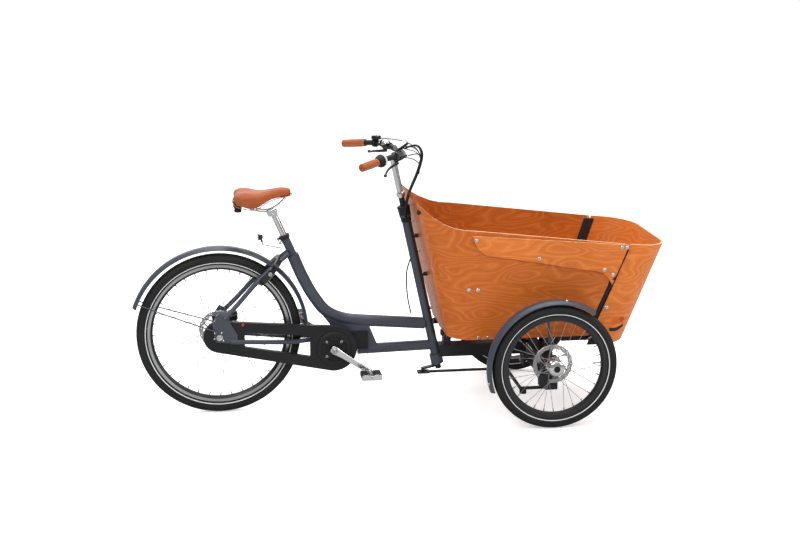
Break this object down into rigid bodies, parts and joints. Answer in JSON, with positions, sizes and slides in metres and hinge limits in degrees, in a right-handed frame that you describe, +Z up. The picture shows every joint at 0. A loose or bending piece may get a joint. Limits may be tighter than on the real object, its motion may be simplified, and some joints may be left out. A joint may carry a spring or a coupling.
{
  "type": "cargo tricycle",
  "caption": "Electric cargo tricycle: swept step-through frame, leaning steered front wheels, open plywood box ahead of the handlebar, mid motor and chain case.",
  "frame": {"origin": "on the ground under the middle of the whole machine", "axes": "+X forward, +Y to the rider's left, +Z up"},
  "size_m": [2.1248, 0.8534, 1.0975],
  "materials": {
    "frame_paint": "satin dark blue-grey powder coat",
    "dark_steel": "satin black",
    "motor_shell": "matt black",
    "black_plastic": "matt black",
    "polished": "polished",
    "steel": "satin",
    "black_rim": "gloss black",
    "tyre": "matt",
    "ply": "varnished plywood",
    "leather": "tan brown, stitched",
    "rubber": "matt",
    "screen": "gloss"
  },
  "bodies": {
    "frame": {"main_frame": "frame_paint", "steering_column": "frame_paint", "rear_stays": "frame_paint", "rear_axle": "steel", "rear_caliper": "dark_steel", "motor": "motor_shell", "chain": "steel", "chain_case": "black_plastic", "rear_mudguard": "frame_paint", "rear_lamp": "black_plastic", "ring_lock": "black_plastic", "tub_shell": "ply", "front_panel": "ply", "side_strips": "ply", "box_floor": "ply", "joint_plates": "dark_steel", "box_fixings": "steel", "battery": "black_plastic", "chassis": "dark_steel", "lean_bracket": "dark_steel", "frame_cable": "rubber"},
    "rear_wheel": {"rear_tyre": "tyre", "rear_rim": "polished", "rear_hub": "polished", "rear_sprocket": "steel"},
    "cranks": {"cranks": "polished", "chainring": "steel"},
    "pedal_left": {"pedal_left": "black_plastic"},
    "pedal_right": {"pedal_right": "black_plastic"},
    "handlebar": {"steerer": "steel", "quill_stem": "polished", "handlebar": "polished", "grips": "leather", "bar_controls": "black_plastic", "display": "screen", "cable_bundle": "rubber"},
    "twist_shifter": {"twist_shifter": "black_plastic"},
    "brake_lever_left": {"brake_lever_left": "polished"},
    "brake_lever_right": {"brake_lever_right": "polished"},
    "saddle": {"seat_post": "polished", "saddle_rails": "dark_steel", "saddle": "leather"},
    "upper_crossarm": {"upper_crossarm": "dark_steel"},
    "lower_crossarm": {"lower_crossarm": "dark_steel"},
    "upright_left": {"upright_left": "dark_steel"},
    "upright_right": {"upright_right": "dark_steel"},
    "knuckle_left": {"knuckle_left": "steel", "front_caliper_left": "dark_steel", "front_mudguard_left": "frame_paint"},
    "knuckle_right": {"knuckle_right": "steel", "front_caliper_right": "dark_steel", "front_mudguard_right": "frame_paint"},
    "front_wheel_left": {"front_left_tyre": "tyre", "front_left_rim": "black_rim", "front_left_hub": "polished"},
    "front_wheel_right": {"front_right_tyre": "tyre", "front_right_rim": "black_rim", "front_right_hub": "polished"},
    "tie_rod_ball": {"tie_rod_ball": "steel"},
    "tie_rod": {"tie_rod": "dark_steel"}
  },
  "joints": [
    {"name": "rear_wheel_spin", "type": "hinge", "parent": "frame", "child": "rear_wheel", "pos_m": [-0.7211, 0, 0.33], "axis": [0, 1, 0], "continuous": true},
    {"name": "crank_spin", "type": "hinge", "parent": "frame", "child": "cranks", "pos_m": [-0.2631, 0, 0.265], "axis": [0, 1, 0], "continuous": true},
    {"name": "pedal_left_spin", "type": "hinge", "parent": "cranks", "child": "pedal_left", "pos_m": [-0.40404, 0.139, 0.36006], "axis": [0, 1, 0], "continuous": true},
    {"name": "pedal_right_spin", "type": "hinge", "parent": "cranks", "child": "pedal_right", "pos_m": [-0.12216, -0.139, 0.16994], "axis": [0, 1, 0], "continuous": true},
    {"name": "handlebar_steer", "type": "hinge", "parent": "frame", "child": "handlebar", "pos_m": [0.1642, 0, 0.206], "axis": [-0.2139, 0, 0.9769], "range_deg": [-30, 30]},
    {"name": "twist_shift", "type": "hinge", "parent": "handlebar", "child": "twist_shifter", "pos_m": [-0.0871, -0.226, 1.057], "axis": [0.7387, 0.664, 0.1162], "range_deg": [-60, 60]},
    {"name": "brake_lever_left_pull", "type": "hinge", "parent": "handlebar", "child": "brake_lever_left", "pos_m": [-0.0231, 0.161, 1.034], "axis": [0, 0, 1], "range_deg": [0, 14], "stiffness_Nm_per_rad": 2},
    {"name": "brake_lever_right_pull", "type": "hinge", "parent": "handlebar", "child": "brake_lever_right", "pos_m": [-0.0231, -0.161, 1.034], "axis": [0, 0, -1], "range_deg": [0, 14], "stiffness_Nm_per_rad": 2},
    {"name": "saddle_height", "type": "slide", "parent": "frame", "child": "saddle", "axis": [-0.3987, 0, 0.9171], "range_m": [-0.05, 0.04]},
    {"name": "lean", "type": "hinge", "parent": "frame", "child": "upper_crossarm", "pos_m": [0.5735, 0, 0.245], "axis": [1, 0, 0], "range_deg": [-15, 15], "stiffness_Nm_per_rad": 2500},
    {"name": "lower_arm_lean", "type": "hinge", "parent": "frame", "child": "lower_crossarm", "pos_m": [0.5735, 0, 0.17], "axis": [1, 0, 0], "range_deg": [-15, 15]},
    {"name": "upright_left_level", "type": "hinge", "parent": "upper_crossarm", "child": "upright_left", "pos_m": [0.5735, 0.285, 0.245], "axis": [1, 0, 0], "range_deg": [-15, 15]},
    {"name": "upright_right_level", "type": "hinge", "parent": "upper_crossarm", "child": "upright_right", "pos_m": [0.5735, -0.285, 0.245], "axis": [1, 0, 0], "range_deg": [-15, 15]},
    {"name": "knuckle_left_steer", "type": "hinge", "parent": "upright_left", "child": "knuckle_left", "pos_m": [0.5735, 0.315, 0.2075], "axis": [0, 0, 1], "range_deg": [-18, 18]},
    {"name": "knuckle_right_steer", "type": "hinge", "parent": "upright_right", "child": "knuckle_right", "pos_m": [0.5735, -0.315, 0.2075], "axis": [0, 0, 1], "range_deg": [-18, 18]},
    {"name": "front_left_wheel_spin", "type": "hinge", "parent": "knuckle_left", "child": "front_wheel_left", "pos_m": [0.5735, 0.3817, 0.25], "axis": [0, 1, 0], "continuous": true},
    {"name": "front_right_wheel_spin", "type": "hinge", "parent": "knuckle_right", "child": "front_wheel_right", "pos_m": [0.5735, -0.3817, 0.25], "axis": [0, 1, 0], "continuous": true},
    {"name": "tie_rod_ball_swing", "type": "hinge", "parent": "knuckle_left", "child": "tie_rod_ball", "pos_m": [0.4635, 0.315, 0.131], "axis": [0, 0, 1], "range_deg": [-18, 18]},
    {"name": "tie_rod_tilt", "type": "hinge", "parent": "tie_rod_ball", "child": "tie_rod", "pos_m": [0.4635, 0.315, 0.131], "axis": [1, 0, 0], "range_deg": [-13.57, 13.57]}
  ],
  "couplings": [
    {"joint": "lower_arm_lean", "follows": "lean", "ratio": 1},
    {"joint": "upright_left_level", "follows": "lean", "ratio": -1},
    {"joint": "upright_right_level", "follows": "lean", "ratio": -1},
    {"joint": "knuckle_left_steer", "follows": "handlebar_steer", "ratio": 0.6},
    {"joint": "knuckle_right_steer", "follows": "handlebar_steer", "ratio": 0.6},
    {"joint": "tie_rod_ball_swing", "follows": "handlebar_steer", "ratio": -0.6},
    {"joint": "tie_rod_tilt", "follows": "lean", "ratio": 0.905}
  ]
}
